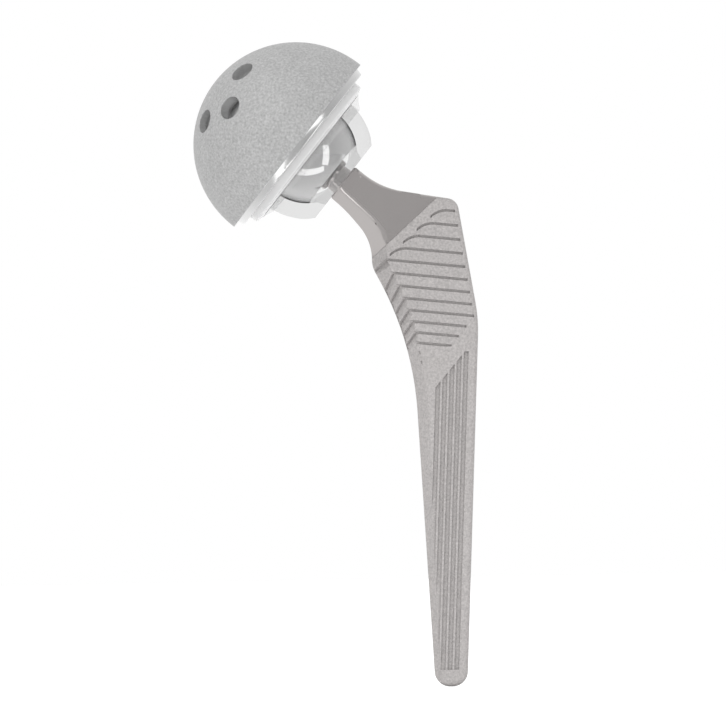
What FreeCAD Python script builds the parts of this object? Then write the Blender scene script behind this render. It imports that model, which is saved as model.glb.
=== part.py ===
# Total hip implant: a forged femoral stem with its taper-locked head, a two-piece ball insert
# that clasps the head, and the acetabular cup, a fixed liner locked into a coated metal shell.
# Frame: millimetres, +Z up along the stem, +X towards the lateral side, +Y to the back.
# The origin lies on the stem's axis at the height where the medial coating ends.
import FreeCAD, Part
import math
import os

import Sketcher

Vector = FreeCAD.Vector
ORIGIN_VERTEX = (-1, 1)
X_AXIS = Vector(1, 0, 0)
Y_AXIS = Vector(0, 1, 0)
Z_AXIS = Vector(0, 0, 1)
QUARTER = 90
FULL_TURN = 360
# Number of a circle's centre in a sketch
CENTRE = 3
# Two places closer than this are one place
TOUCH = 0.001

# Driving sizes, in millimetres and degrees.
SIZES = {
    # Where the head sits over the stem, and how neck and cup slope below the level
    "head_offset": 37.9,
    "head_height": 30.1,
    "neck_slope": 40,
    "cup_slope": 39.1,
    # Head and its taper
    "head_radius": 14,
    "head_base_at": 9.2,
    "skirt_at": 10.9,
    "skirt_radius": 4.7,
    "taper_radius": 4,
    "taper_angle": 2.85,
    "taper_tip_chamfer": 0.5,
    "taper_end_gap": 1.5,
    # Neck
    "neck_start": 13,
    "neck_half": 5.5,
    "neck_flat": 5.2,
    "neck_flat_to": 19,
    "neck_flare_to": 38,
    "neck_end_chamfer": 0.45,
    "neck_blend": 24,
    "arch_start": 18,
    "arch_ease": 45,
    "arch_height": 5,
    "arch_radius": 14.5,
    # Outline of the body, seen from the front
    "shoulder_reach": 4.2,
    "shoulder_height": 16.1,
    "shoulder_fall": 9.9,
    "shoulder_round": 3.5,
    "bend_reach": 9.65,
    "bend_depth": 17.7,
    "bend_round": 45,
    "tip_half": 4.5,
    "tip_depth": 121.2,
    "tip_round": 4.3,
    "flare_reach": 9,
    "flare_depth": 23.6,
    "flare_round": 90,
    "calcar_reach": 20.1,
    "calcar_depth": 2.3,
    "calcar_round": 7.4,
    # Half thickness seen from the side: at the head's height, the waist and the tip
    "top_flat": 7.27,
    "waist_flat": 5,
    "waist_depth": 26,
    "waist_round": 60,
    "tip_flat": 3.5,
    "nose_half": 1.6,
    "edge_round": 1.3,
    # Horizontal ledge grooves on both broad faces
    "ledge_count": 14,
    "ledge_curved": 4,
    "ledge_top": 13.3,
    "ledge_pitch": 4.05,
    "ledge_pitch_loss": 0.115,
    "ledge_fall": 6.4,
    "ledge_width": 0.75,
    "ledge_depth": 0.55,
    "ledge_margin": 1.1,
    "ledge_hook": 5,
    "ledge_hook_fall": 21,
    "ledge_hook_round": 6.2,
    "ledge_foot_count": 2,
    "ledge_foot_band": 3.2,
    # Edge of the coating, where it leaves the shoulder's top, and how far off the ledges keep
    "coat_top_reach": 1.1,
    "coat_top_height": 17,
    "coat_slope": 42,
    "coat_margin": 3.6,
    # Notches that carry the ledges over the medial chamfer
    "notch_count": 7,
    "notch_width": 1.9,
    "notch_depth": 0.75,
    "notch_lean": 20,
    "notch_turn": 62,
    "notch_overrun": 1.9,
    "tooth_width": 0.95,
    "tooth_depth": 0.45,
    "tooth_tip": 0.05,
    # Long flutes on both broad faces
    "flute_count": 5,
    "flute_edge": 3.2,
    "flute_pitch": 1.93,
    "flute_width": 1.35,
    "flute_depth": 0.55,
    "flute_top": 26.2,
    "flute_slant": 51.4,
    "flute_band": 6.3,
    "flute_end": 116.5,
    # Threaded socket for the inserter, on the stem's axis
    "socket_radius": 2.5,
    "socket_depth": 12,
    "socket_mouth": 0.6,
    # Ball insert in two halves
    "ball_radius": 18.6,
    "ball_gap": 0.15,
    "ball_face_at": 13.1,
    "ball_face_round": 1,
    "ball_flare_at": 11.4,
    "mouth_radius": 8.2,
    "mouth_inner": 9.2,
    "seam_at": 1,
    "spigot_depth": 1.8,
    "spigot_wall": 2.2,
    "spigot_gap": 0.02,
    # Cup: shell and liner, both turned about the cup's axis
    "ball_to_shell": 3.84,
    "shell_radius": 29,
    "coat_rim_at": 0.5,
    "rim_radius": 27.5,
    "rim_at": 2.4,
    "rim_round": 0.8,
    "shell_cavity": 24.2,
    "seat_radius": 24,
    "seat_angle": 2.5,
    "seat_end": 3,
    "liner_dome": 23.6,
    "flange_at": 4.65,
    "flange_round": 0.5,
    "lip_root_radius": 21.9,
    "lip_root_at": 5.15,
    "lip_end_radius": 18.75,
    "lip_end_at": 7.35,
    "lip_tilt": 2.6,
    # Screw holes in the dome of the shell, and how far from its centre each one aims
    "hole_radius": 3.4,
    "hole_seat_radius": 4.6,
    "hole_seat_depth": 1.6,
    "hole_one_polar": 31.7,
    "hole_one_turn": 26.8,
    "hole_one_aim": 1.2,
    "hole_two_polar": 43.5,
    "hole_two_turn": -9.7,
    "hole_two_aim": 0,
    "hole_three_polar": 32.7,
    "hole_three_turn": -43.2,
    "hole_three_aim": -1.2,
}

document = FreeCAD.newDocument("hip_implant")


def make_sheet():
    """Write the driving sizes into a spreadsheet, one aliased cell each."""
    sheet = document.addObject("Spreadsheet::Sheet", "dims")
    for row, (alias, value) in enumerate(SIZES.items(), start=1):
        sheet.set(f"A{row}", alias)
        sheet.set(f"B{row}", str(value))
        sheet.setAlias(f"B{row}", alias)
    document.recompute()
    return sheet


SHEET = make_sheet()


def size(expression):
    """The number that an expression on the sheet's cells comes to."""
    return float(SHEET.evalExpression(expression))


def make_body(name):
    body = document.addObject("PartDesign::Body", name)
    body.Label = name
    return body


def plane_of(body, role):
    return next(item for item in body.Origin.OriginFeatures if item.Role == role)


def make_sketch(body, name, role="XZ_Plane"):
    """A sketch on one of the body's own origin planes; on XZ_Plane its second axis is +Z."""
    sketch = body.newObject("Sketcher::SketchObject", name)
    sketch.AttachmentSupport = [(plane_of(body, role), "")]
    sketch.MapMode = "FlatFace"
    return sketch


def pin_point(sketch, geometry, position, place):
    """Tie one point of the sketch to a pair of expressions."""
    for kind, expression in zip(("DistanceX", "DistanceY"), place):
        index = sketch.addConstraint(
            Sketcher.Constraint(kind, *ORIGIN_VERTEX, geometry, position, size(expression)))
        sketch.setExpression(f".Constraints[{index}]", expression)


def pin_radius(sketch, geometry, expression):
    index = sketch.addConstraint(Sketcher.Constraint("Radius", geometry, size(expression)))
    sketch.setExpression(f".Constraints[{index}]", expression)


def at(place):
    return Vector(size(place[0]), size(place[1]), 0)


def arc_between(start, end, radius, bulge):
    """The short arc from start to end; bulge is +1 where it bows to the right of that way."""
    chord = end - start
    middle = (start + end) * 0.5
    left = Vector(-chord.y, chord.x, 0).normalize()
    rise = math.sqrt(max(radius ** 2 - (chord.Length / 2) ** 2, 0))
    centre = middle + left * (rise * bulge)
    first, last = (start, end) if bulge > 0 else (end, start)
    angles = [math.atan2(point.y - centre.y, point.x - centre.x) for point in (first, last)]
    circle = Part.Circle(centre, Z_AXIS, radius)
    return Part.ArcOfCircle(circle, angles[0], angles[1])


def add_loop(sketch, places, arcs=None, closed=True):
    """Join places, pairs of expressions, by lines, or by arcs where arcs names the side.

    arcs maps the number of a side to its radius expression and its bulge.
    """
    arcs = arcs or {}
    points = [at(place) for place in places]
    sides = len(places) if closed else len(places) - 1
    first_geometry = None
    previous = None
    for side in range(sides):
        start, end = points[side], points[(side + 1) % len(points)]
        if side in arcs:
            radius, bulge = arcs[side]
            shape = arc_between(start, end, size(radius), bulge)
            ends = (1, 2) if bulge > 0 else (2, 1)
        else:
            shape = Part.LineSegment(start, end)
            ends = (1, 2)
        geometry = sketch.addGeometry(shape, False)
        if previous is not None:
            sketch.addConstraint(
                Sketcher.Constraint("Coincident", previous[0], previous[1], geometry, ends[0]))
        pin_point(sketch, geometry, ends[0], places[side])
        if side in arcs:
            pin_radius(sketch, geometry, arcs[side][0])
        if first_geometry is None:
            first_geometry = (geometry, ends[0])
        previous = (geometry, ends[1])
    if closed:
        sketch.addConstraint(Sketcher.Constraint("Coincident", *previous, *first_geometry))
    else:
        pin_point(sketch, *previous, places[-1])


def add_rounded(sketch, corners, closed=True):
    """Lines through the given corners, each corner rounded to its own radius.

    A corner is (x, y) or (x, y, radius), all expressions. The sharp corners stay as
    construction points that hold the lines, and the arcs are tangent to both neighbours.
    """
    points = [at(corner) for corner in corners]
    count = len(corners)
    trims = []
    for number, corner in enumerate(corners):
        inner = closed or 0 < number < count - 1
        if len(corner) < 3 or not inner:
            trims.append(0)
            continue
        back = (points[number - 1] - points[number]).normalize()
        ahead = (points[(number + 1) % count] - points[number]).normalize()
        half_angle = back.getAngle(ahead) / 2
        trims.append(size(corner[2]) / math.tan(half_angle))
    sharp = []
    for corner, point in zip(corners, points):
        geometry = sketch.addGeometry(Part.Point(point), True)
        pin_point(sketch, geometry, 1, corner)
        sharp.append(geometry)
    lines = []
    for number in range(count if closed else count - 1):
        after = (number + 1) % count
        way = (points[after] - points[number]).normalize()
        start = points[number] + way * trims[number]
        end = points[after] - way * trims[after]
        geometry = sketch.addGeometry(Part.LineSegment(start, end), False)
        for corner_number, position in ((number, 1), (after, 2)):
            if trims[corner_number]:
                sketch.addConstraint(Sketcher.Constraint(
                    "PointOnObject", sharp[corner_number], 1, geometry))
            else:
                sketch.addConstraint(Sketcher.Constraint(
                    "Coincident", geometry, position, sharp[corner_number], 1))
        lines.append((geometry, start, end))
    for number in range(count):
        if not trims[number]:
            continue
        before, after = lines[number - 1], lines[number]
        start, end = before[2], after[1]
        turn = (start - before[1]).cross(after[2] - end).z
        bulge = 1 if turn > 0 else -1
        arc = arc_between(start, end, size(corners[number][2]), bulge)
        geometry = sketch.addGeometry(arc, False)
        ends = (1, 2) if bulge > 0 else (2, 1)
        sketch.addConstraint(Sketcher.Constraint("Tangent", before[0], 2, geometry, ends[0]))
        sketch.addConstraint(Sketcher.Constraint("Tangent", after[0], 1, geometry, ends[1]))
        pin_radius(sketch, geometry, corners[number][2])


def revolve(body, name, sketch, kind="PartDesign::Revolution", axis="V_Axis"):
    feature = body.newObject(kind, name)
    feature.Profile = sketch
    feature.ReferenceAxis = (sketch, [axis])
    feature.Angle = FULL_TURN
    document.recompute()
    return feature


def through_pocket(body, name, sketch):
    """Cut the sketch right through the body, both ways."""
    feature = body.newObject("PartDesign::Pocket", name)
    feature.Profile = sketch
    feature.Type = "ThroughAll"
    feature.Midplane = True
    document.recompute()
    return feature


def face_pocket(body, name, sketch, depth):
    """Cut the sketch, which lies on a broad face, into the body by the depth."""
    feature = body.newObject("PartDesign::Pocket", name)
    feature.Profile = sketch
    feature.Type = "Length"
    feature.setExpression("Length", depth)
    document.recompute()
    return feature


def mirror_to_back(body, name, originals):
    """Repeat features of the front face on the back face."""
    feature = body.newObject("PartDesign::Mirrored", name)
    feature.Originals = originals
    feature.MirrorPlane = (plane_of(body, "XZ_Plane"), [""])
    body.Tip = feature
    document.recompute()
    return feature


# Expressions that several pieces share
NECK_COS = "cos(dims.neck_slope)"
NECK_SIN = "sin(dims.neck_slope)"
SHOULDER_TAN = "tan(dims.shoulder_fall)"
LATERAL_LEAN = "((dims.bend_reach - dims.tip_half) / (dims.tip_depth - dims.bend_depth))"
LATERAL_SPREAD = ("((dims.bend_reach - dims.shoulder_reach)"
                  " / (dims.shoulder_height + dims.bend_depth))")
MEDIAL_LEAN = "((dims.flare_reach - dims.tip_half) / (dims.tip_depth - dims.flare_depth))"
MEDIAL_SPREAD = ("((dims.calcar_reach - dims.flare_reach)"
                 " / (dims.flare_depth - dims.calcar_depth))")


def along_neck(distance, across):
    """A point of the front view by its distance along the neck from the head's centre."""
    x = f"-dims.head_offset + ({distance}) * {NECK_COS} + ({across}) * {NECK_SIN}"
    z = f"dims.head_height - ({distance}) * {NECK_SIN} + ({across}) * {NECK_COS}"
    return x, z


# Distance along the neck at which its upper edge meets the sloping top of the shoulder
NECK_TO_SHOULDER = (
    f"(dims.head_height + dims.neck_half * {NECK_COS} - dims.shoulder_height"
    f" - (dims.shoulder_reach + dims.head_offset - dims.neck_half * {NECK_SIN})"
    f" * {SHOULDER_TAN}) / ({NECK_SIN} - {NECK_COS} * {SHOULDER_TAN})")

MEDIAL_CORNERS = [
    ("-dims.tip_half", "-dims.tip_depth", "dims.tip_round"),
    ("-dims.flare_reach", "-dims.flare_depth", "dims.flare_round"),
    ("-dims.calcar_reach", "-dims.calcar_depth", "dims.calcar_round"),
    ("-dims.calcar_reach", "dims.arch_height", "dims.arch_radius"),
    (*along_neck("dims.arch_start", "-dims.neck_half"), "dims.arch_ease"),
]


def stem_outline(body):
    """The forging seen from the front: neck, shoulder, flared body and rounded tip."""
    sketch = make_sketch(body, "front_outline")
    corners = [
        along_neck("dims.neck_start", "dims.neck_half"),
        (*along_neck(NECK_TO_SHOULDER, "dims.neck_half"), "dims.neck_blend"),
        ("dims.shoulder_reach", "dims.shoulder_height", "dims.shoulder_round"),
        ("dims.bend_reach", "-dims.bend_depth", "dims.bend_round"),
        ("dims.tip_half", "-dims.tip_depth", "dims.tip_round"),
        *MEDIAL_CORNERS,
        along_neck("dims.neck_start", "-dims.neck_half"),
    ]
    add_rounded(sketch, corners)
    pad = body.newObject("PartDesign::Pad", "forging_blank")
    pad.Profile = sketch
    pad.Midplane = True
    pad.setExpression("Length", "2 * dims.top_flat")
    document.recompute()


def stem_side_tapers(body):
    """Thin the blank from the shoulder to the tip, as a side view shows it."""
    sketch = make_sketch(body, "side_tapers", "YZ_Plane")
    beyond = "(2 * dims.top_flat)"
    for side in ("", "-"):
        corners = [
            (f"{side}dims.top_flat", "dims.head_height"),
            (f"{side}dims.waist_flat", "-dims.waist_depth", "dims.waist_round"),
            (f"{side}dims.tip_flat", "-dims.tip_depth - dims.tip_round"),
            (f"{side}{beyond}", "-dims.tip_depth - dims.tip_round"),
            (f"{side}{beyond}", "dims.head_height"),
        ]
        add_rounded(sketch, corners)
    through_pocket(body, "side_taper_cut", sketch)


def stem_neck_flats(body):
    """Mill the neck down to its flats, easing out into the faces of the body."""
    sketch = make_sketch(body, "neck_flats", "XY_Plane")
    sketch.AttachmentOffset = FreeCAD.Placement(
        Vector(-size("dims.head_offset"), 0, size("dims.head_height")),
        FreeCAD.Rotation(Y_AXIS, size("dims.neck_slope")))
    beyond = "(2 * dims.top_flat)"
    for side in ("", "-"):
        corners = [
            ("dims.neck_start - dims.neck_half", f"{side}dims.neck_flat"),
            ("dims.neck_flat_to", f"{side}dims.neck_flat", "dims.arch_ease"),
            ("dims.neck_flare_to", f"{side}dims.top_flat"),
            ("dims.neck_flare_to", f"{side}{beyond}"),
            ("dims.neck_start - dims.neck_half", f"{side}{beyond}"),
        ]
        add_rounded(sketch, corners)
    through_pocket(body, "neck_flat_cut", sketch)


def stem_medial_chamfer(body):
    """Plane the medial edges away at 45 degrees, leaving a narrow nose all the way down."""
    path = make_sketch(body, "medial_path")
    below = (f"-dims.tip_half + dims.tip_round * {MEDIAL_LEAN}",
             "-dims.tip_depth - dims.tip_round")
    corners = [below, *MEDIAL_CORNERS[1:],
               along_neck("dims.neck_start - dims.neck_half", "-dims.neck_half")]
    add_rounded(path, corners, closed=False)
    profile = body.newObject("Sketcher::SketchObject", "chamfer_profile")
    start = at(below)
    profile.Placement = FreeCAD.Placement(
        Vector(start.x, 0, start.y), FreeCAD.Rotation(X_AXIS, 0))
    reach = "dims.top_flat"
    add_loop(profile, [
        ("-1", "dims.nose_half - 1"),
        (f"{reach} - dims.nose_half + 1", f"{reach} + 1"),
        ("-1", f"{reach} + 1"),
    ])
    pipe = body.newObject("PartDesign::SubtractivePipe", "medial_chamfer")
    pipe.Profile = profile
    pipe.Spine = (path, [])
    document.recompute()
    return path, pipe


def bend_edge(shape, side):
    """Number of the edge of a broad face, side +1 for the back, at the lateral bend."""
    found = []
    for number, edge in enumerate(shape.Edges, start=1):
        middle = edge.valueAt((edge.FirstParameter + edge.LastParameter) / 2)
        if middle.y * side > size("dims.nose_half"):
            gap = math.hypot(middle.x - size("dims.bend_reach"),
                             middle.z + size("dims.bend_depth"))
            found.append((gap, number))
    return min(found)[1]


def stem_edge_rounds(body):
    """Round the lateral edge of each broad face, from the shoulder to the tip.

    The edge at the bend is enough: the rounding runs on along the smooth chain of edges.
    """
    for side, name in ((1, "back_round"), (-1, "front_round")):
        base = body.Tip
        fillet = body.newObject("PartDesign::Fillet", name)
        fillet.Base = (base, [f"Edge{bend_edge(base.Shape, side)}"])
        fillet.setExpression("Radius", "dims.edge_round")
        document.recompute()


def stem_neck_end(body):
    """Break the edges of the neck's end face, round the root of the taper."""
    base = body.Tip
    start = at(along_neck("dims.neck_start", "0"))
    end_face = Vector(start.x, 0, start.y)
    way = Vector(size(NECK_COS), 0, -size(NECK_SIN))
    names = []
    for number, edge in enumerate(base.Shape.Edges, start=1):
        if all(abs((corner.Point - end_face).dot(way)) < TOUCH for corner in edge.Vertexes):
            names.append(f"Edge{number}")
    chamfer = body.newObject("PartDesign::Chamfer", "neck_end_chamfer")
    chamfer.Base = (base, names)
    chamfer.setExpression("Size", "dims.neck_end_chamfer")
    document.recompute()


def taper_at(distance):
    """Radius of the head's taper at a distance along the neck from the head's centre."""
    return f"dims.taper_radius - (dims.neck_start - ({distance})) * tan(dims.taper_angle)"


def stem_trunnion(body):
    """The taper that the head is driven on to, turned about the neck's axis."""
    sketch = make_sketch(body, "trunnion_profile")
    root = "dims.neck_start + dims.taper_tip_chamfer"
    add_loop(sketch, [
        along_neck("0", "0"),
        along_neck("0", f"{taper_at('0')} - dims.taper_tip_chamfer"),
        along_neck("dims.taper_tip_chamfer", taper_at("dims.taper_tip_chamfer")),
        along_neck("dims.neck_start", taper_at("dims.neck_start")),
        along_neck(root, taper_at("dims.neck_start")),
        along_neck(root, "0"),
    ])
    ends = [along_neck("0", "0"), along_neck(root, "0")]
    line = sketch.addGeometry(Part.LineSegment(at(ends[0]), at(ends[1])), True)
    for position, place in enumerate(ends, start=1):
        pin_point(sketch, line, position, place)
    revolve(body, "trunnion", sketch, axis="Axis0")


def stem_socket(body):
    """The threaded socket in the shoulder's top, on the stem's axis, for the inserter."""
    sketch = make_sketch(body, "socket_profile")
    top = f"(dims.shoulder_height + dims.shoulder_reach * {SHOULDER_TAN})"
    bottom = f"{top} - dims.socket_depth"
    add_loop(sketch, [
        ("0", bottom),
        ("dims.socket_radius", bottom),
        ("dims.socket_radius", f"{top} - dims.socket_mouth"),
        ("dims.socket_radius + 2 * dims.socket_mouth", f"{top} + dims.socket_mouth"),
        ("0", f"{top} + dims.socket_mouth"),
    ])
    revolve(body, "inserter_socket", sketch, "PartDesign::Groove")


def broad_face_sketch(body, name, top, top_half, foot, foot_half):
    """A sketch lying on the front face, which slopes between two levels; y counts from top."""
    sketch = make_sketch(body, name)
    slope = f"atan(({top_half} - {foot_half}) / ({top} - ({foot})))"
    sketch.AttachmentOffset = FreeCAD.Placement(
        Vector(0, size(top), size(top_half)), FreeCAD.Rotation(X_AXIS, size(slope)))
    sketch.setExpression("AttachmentOffset.Base.y", top)
    sketch.setExpression("AttachmentOffset.Base.z", top_half)
    sketch.setExpression("AttachmentOffset.Rotation.Angle", slope)
    return sketch


# How fast a ledge falls towards the lateral side
LEDGE_TAN = "tan(dims.ledge_fall)"
# Slanted line of the flutes' upper ends: its place at z = 0 and its run for a rise of one
FLUTE_RUN = "(1 / tan(dims.flute_slant))"
FIRST_FLUTE = (f"(dims.bend_reach + dims.bend_depth * {LATERAL_LEAN}"
               f" - dims.flute_top * {LATERAL_LEAN} - dims.flute_edge)")


def ledge_level(number):
    """Height at which a ledge crosses the stem's axis; the pitch shrinks downwards."""
    loss = number * (number - 1) // 2
    return (f"(dims.ledge_top - {number} * dims.ledge_pitch"
            f" + {loss} * dims.ledge_pitch_loss)")


def ledge_meets(number, place, lean):
    """Where a ledge meets the line x = place + lean * z."""
    return f"(({place} + {lean} * {ledge_level(number)}) / (1 + {lean} * {LEDGE_TAN}))"


def ledge_point(number, x):
    return x, f"{ledge_level(number)} - ({x}) * {LEDGE_TAN}"


def ledge_lateral_end(number):
    """The ledge stops short of the lateral edge, and of the band above the flutes."""
    upper = ledge_meets(number, f"(dims.shoulder_reach + dims.shoulder_height"
                        f" * {LATERAL_SPREAD} - dims.ledge_margin)", f"(-{LATERAL_SPREAD})")
    lower = ledge_meets(number, f"(dims.bend_reach + dims.bend_depth * {LATERAL_LEAN}"
                        " - dims.ledge_margin)", LATERAL_LEAN)
    last = number >= size("dims.ledge_count - dims.ledge_foot_count")
    margin = "dims.ledge_foot_band" if last else "dims.flute_band"
    band = ledge_meets(number, f"({FIRST_FLUTE} + (dims.flute_top - {margin})"
                       f" * {FLUTE_RUN})", FLUTE_RUN)
    return ledge_point(number, f"min({upper}; {lower}; {band})")


def ledge_medial_end(number):
    """The ledge runs out over the medial chamfer."""
    upper = ledge_meets(number, f"(-dims.flare_reach - dims.flare_depth * {MEDIAL_SPREAD})",
                        f"(-{MEDIAL_SPREAD})")
    lower = ledge_meets(number, f"(-dims.tip_half - dims.tip_depth * {MEDIAL_LEAN})",
                        f"(-{MEDIAL_LEAN})")
    return ledge_point(number, f"min({upper}; {lower})")


def ledge_hook(number):
    """The bend and the end of the drooping stretch along the edge of the coating."""
    across = "dims.ledge_hook * cos(dims.ledge_hook_fall)"
    drop = "dims.ledge_hook * sin(dims.ledge_hook_fall)"
    run = "(1 / tan(dims.coat_slope))"
    edge = (f"(-dims.coat_top_reach - (dims.coat_top_height - dims.coat_margin + {drop})"
            f" * {run} + {across})")
    bend = ledge_point(number, ledge_meets(number, edge, run))
    return bend, (f"{bend[0]} - {across}", f"{bend[1]} - {drop}")


def stem_ledges(body):
    """Shallow horizontal grooves over both broad faces; the upper ones droop at the coat."""
    top = "dims.head_height"
    sketch = broad_face_sketch(body, "ledge_lines", top, "dims.top_flat",
                               "-dims.waist_depth", "dims.waist_flat")
    for number in range(round(size("dims.ledge_count"))):
        if number < size("dims.ledge_curved"):
            places = [ledge_lateral_end(number), *ledge_hook(number)]
        else:
            places = [ledge_lateral_end(number), ledge_medial_end(number)]
        upper = [(x, f"{z} + dims.ledge_width / 2 - {top}") for x, z in places]
        under = [(x, f"{z} - dims.ledge_width / 2 - {top}") for x, z in reversed(places)]
        droops = {}
        if number < size("dims.ledge_curved"):
            droops = {1: ("dims.ledge_hook_round", 1), 3: ("dims.ledge_hook_round", -1)}
        add_loop(sketch, upper + under, droops)
    front = face_pocket(body, "ledges", sketch, "dims.ledge_depth")
    mirror_to_back(body, "back_ledges", [front])


def stem_flutes(body):
    """Long grooves beside the lateral edge, down both broad faces to the tip."""
    top = "(-dims.waist_depth)"
    sketch = broad_face_sketch(body, "flute_lines", top, "dims.waist_flat",
                               "(-dims.tip_depth - dims.tip_round)", "dims.tip_flat")
    for number in range(round(size("dims.flute_count"))):
        middle = f"({FIRST_FLUTE} - {number} * dims.flute_pitch)"
        places = []
        for side in ("+", "-"):
            x = f"({middle} {side} dims.flute_width / 2)"
            z = f"(-dims.flute_top + ({x} - {FIRST_FLUTE}) * tan(dims.flute_slant))"
            places.append((f"{x} + ({z} + dims.flute_top) * {LATERAL_LEAN}", f"{z} - {top}"))
        for side in ("-", "+"):
            x = f"({middle} {side} dims.flute_width / 2)"
            places.append((f"{x} + (dims.flute_top - dims.flute_end) * {LATERAL_LEAN}",
                           f"-dims.flute_end - {top}"))
        add_loop(sketch, places)
    front = face_pocket(body, "flutes", sketch, "dims.flute_depth")
    mirror_to_back(body, "back_flutes", [front])


def chamfer_crossing(path, number):
    """Where a ledge meets the upper edge of the medial chamfer, in the front view."""
    fall = size(LEDGE_TAN)
    level = size(ledge_level(number))
    thinning = size("(dims.top_flat - dims.waist_flat) / (dims.head_height + dims.waist_depth)")
    outer, inner = -size("dims.calcar_reach"), 0
    while inner - outer > TOUCH:
        x = (outer + inner) / 2
        place = Vector(x, 0, level - x * fall)
        half = size("dims.top_flat") - (size("dims.head_height") - place.z) * thinning
        reach = path.Shape.distToShape(Part.Vertex(place))[0]
        if reach > half - size("dims.nose_half"):
            inner = x
        else:
            outer = x
    return place


def outline_point(path, place):
    """The point of the medial outline that is nearest to a place in the front view."""
    return path.Shape.distToShape(Part.Vertex(place))[1][0][0]


def chamfer_nose(path, crossing):
    """Where a notch from the crossing reaches the nose, and the way into the metal there."""
    nearest = outline_point(path, crossing)
    inward = crossing - nearest
    across = inward.Length * math.sqrt(2)
    inward.normalize()
    down = Y_AXIS.cross(inward)
    shift = across / math.tan(math.radians(size("dims.notch_turn")))
    return outline_point(path, nearest + down * shift), inward


def stem_notches(body, path):
    """Chevron notches carry the ledges over the chamfer, and teeth step the medial edge."""
    first = round(size("dims.ledge_curved"))
    count = round(size("dims.notch_count"))
    front = Vector(0, -1, 0)
    notches = []
    outline = []
    for number in range(first, first + count + 1):
        crossing = chamfer_crossing(path, number)
        nose, inward = chamfer_nose(path, crossing)
        outline.append((nose, inward, Y_AXIS.cross(inward)))
        if number == first + count:
            break
        half = size("dims.nose_half")
        edge = nose + front * half
        start = crossing + front * (half + (crossing - nose).dot(inward))
        run = edge - start
        normal = (front - inward).normalize()
        length = run.Length + size("dims.notch_overrun")
        side = normal.cross(run).normalize()
        corner = start - normal * size("dims.notch_depth")
        lean = FreeCAD.Rotation(run, size("dims.notch_lean"))
        side, normal = lean.multVec(side), lean.multVec(normal)
        box = body.newObject("PartDesign::SubtractiveBox", f"notch_{number}")
        box.Length = length
        box.setExpression("Width", "dims.notch_width")
        box.setExpression("Height", "2 * dims.notch_depth")
        box.Placement = FreeCAD.Placement(
            corner, FreeCAD.Rotation(run, side, normal, "XZY"))
        notches.append(box)
    document.recompute()
    mirror_to_back(body, "back_notches", notches)
    return outline


def stem_teeth(body, outline):
    """Step the medial edge where the notches of both faces meet on the nose."""
    depth, width, tip = (size(f"dims.{name}") for name in
                         ("tooth_depth", "tooth_width", "tooth_tip"))
    places = []
    for nose, inward, down in outline[:-1]:
        places += [nose + inward * tip, nose + inward * depth + down * width]
    above, below = ([nose - inward * width] for nose, inward, _ in (outline[0], outline[-1]))
    places = above + places[1:] + below
    sketch = make_sketch(body, "tooth_line")
    add_loop(sketch, [(str(place.x), str(place.z)) for place in places])
    through_pocket(body, "medial_teeth", sketch)


def build_stem():
    body = make_body("femoral_stem")
    stem_outline(body)
    stem_side_tapers(body)
    stem_neck_flats(body)
    path, front = stem_medial_chamfer(body)
    mirror_to_back(body, "back_chamfer", [front])
    stem_edge_rounds(body)
    stem_neck_end(body)
    stem_trunnion(body)
    stem_socket(body)
    stem_ledges(body)
    stem_flutes(body)
    outline = stem_notches(body, path)
    stem_teeth(body, outline)
    return body


def turn_about_head(body, slope, x, z):
    """Stand the body's own axis along the neck or cup, its mouth towards the stem."""
    body.Placement = FreeCAD.Placement(Vector(), FreeCAD.Rotation(Y_AXIS, QUARTER))
    body.setExpression("Placement.Base.x", x)
    body.setExpression("Placement.Base.z", z)
    body.setExpression("Placement.Rotation.Angle", f"{QUARTER} + {slope}")


def round_at(radius, height):
    """Radius, at a height over its centre, of a sphere."""
    return f"sqrt(({radius}) ^ 2 - ({height}) ^ 2)"


def build_head():
    """The metal ball, its flat base drawn out to a skirt round the taper's bore."""
    body = make_body("femoral_head")
    sketch = make_sketch(body, "head_profile")
    bottom = "-dims.taper_end_gap"
    add_loop(sketch, [
        ("0", "-dims.head_radius"),
        (round_at("dims.head_radius", "dims.head_base_at"), "dims.head_base_at"),
        ("dims.skirt_radius", "dims.skirt_at"),
        (taper_at("dims.skirt_at"), "dims.skirt_at"),
        (taper_at(bottom), bottom),
        ("0", bottom),
    ], {0: ("dims.head_radius", 1)})
    revolve(body, "head_ball", sketch)
    turn_about_head(body, "dims.neck_slope", "-dims.head_offset", "dims.head_height")


# Shared by the two halves of the insert: bearing, spigot and its lower end
BEARING = "(dims.head_radius + dims.ball_gap)"
SPIGOT_RADIUS = f"({BEARING} + dims.spigot_wall)"
SPIGOT_END = "(dims.seam_at - dims.spigot_depth)"


def build_insert_cup():
    """The rear half of the ball insert, rebated at its rim for the cap's spigot."""
    body = make_body("insert_cup")
    sketch = make_sketch(body, "insert_cup_profile")
    add_loop(sketch, [
        ("0", "-dims.ball_radius"),
        (round_at("dims.ball_radius", "dims.seam_at"), "dims.seam_at"),
        (SPIGOT_RADIUS, "dims.seam_at"),
        (SPIGOT_RADIUS, SPIGOT_END),
        (round_at(BEARING, SPIGOT_END), SPIGOT_END),
        ("0", f"-{BEARING}"),
    ], {0: ("dims.ball_radius", 1), 4: (BEARING, -1)})
    revolve(body, "insert_cup_shell", sketch)
    turn_about_head(body, "dims.cup_slope", "-dims.head_offset", "dims.head_height")


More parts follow.
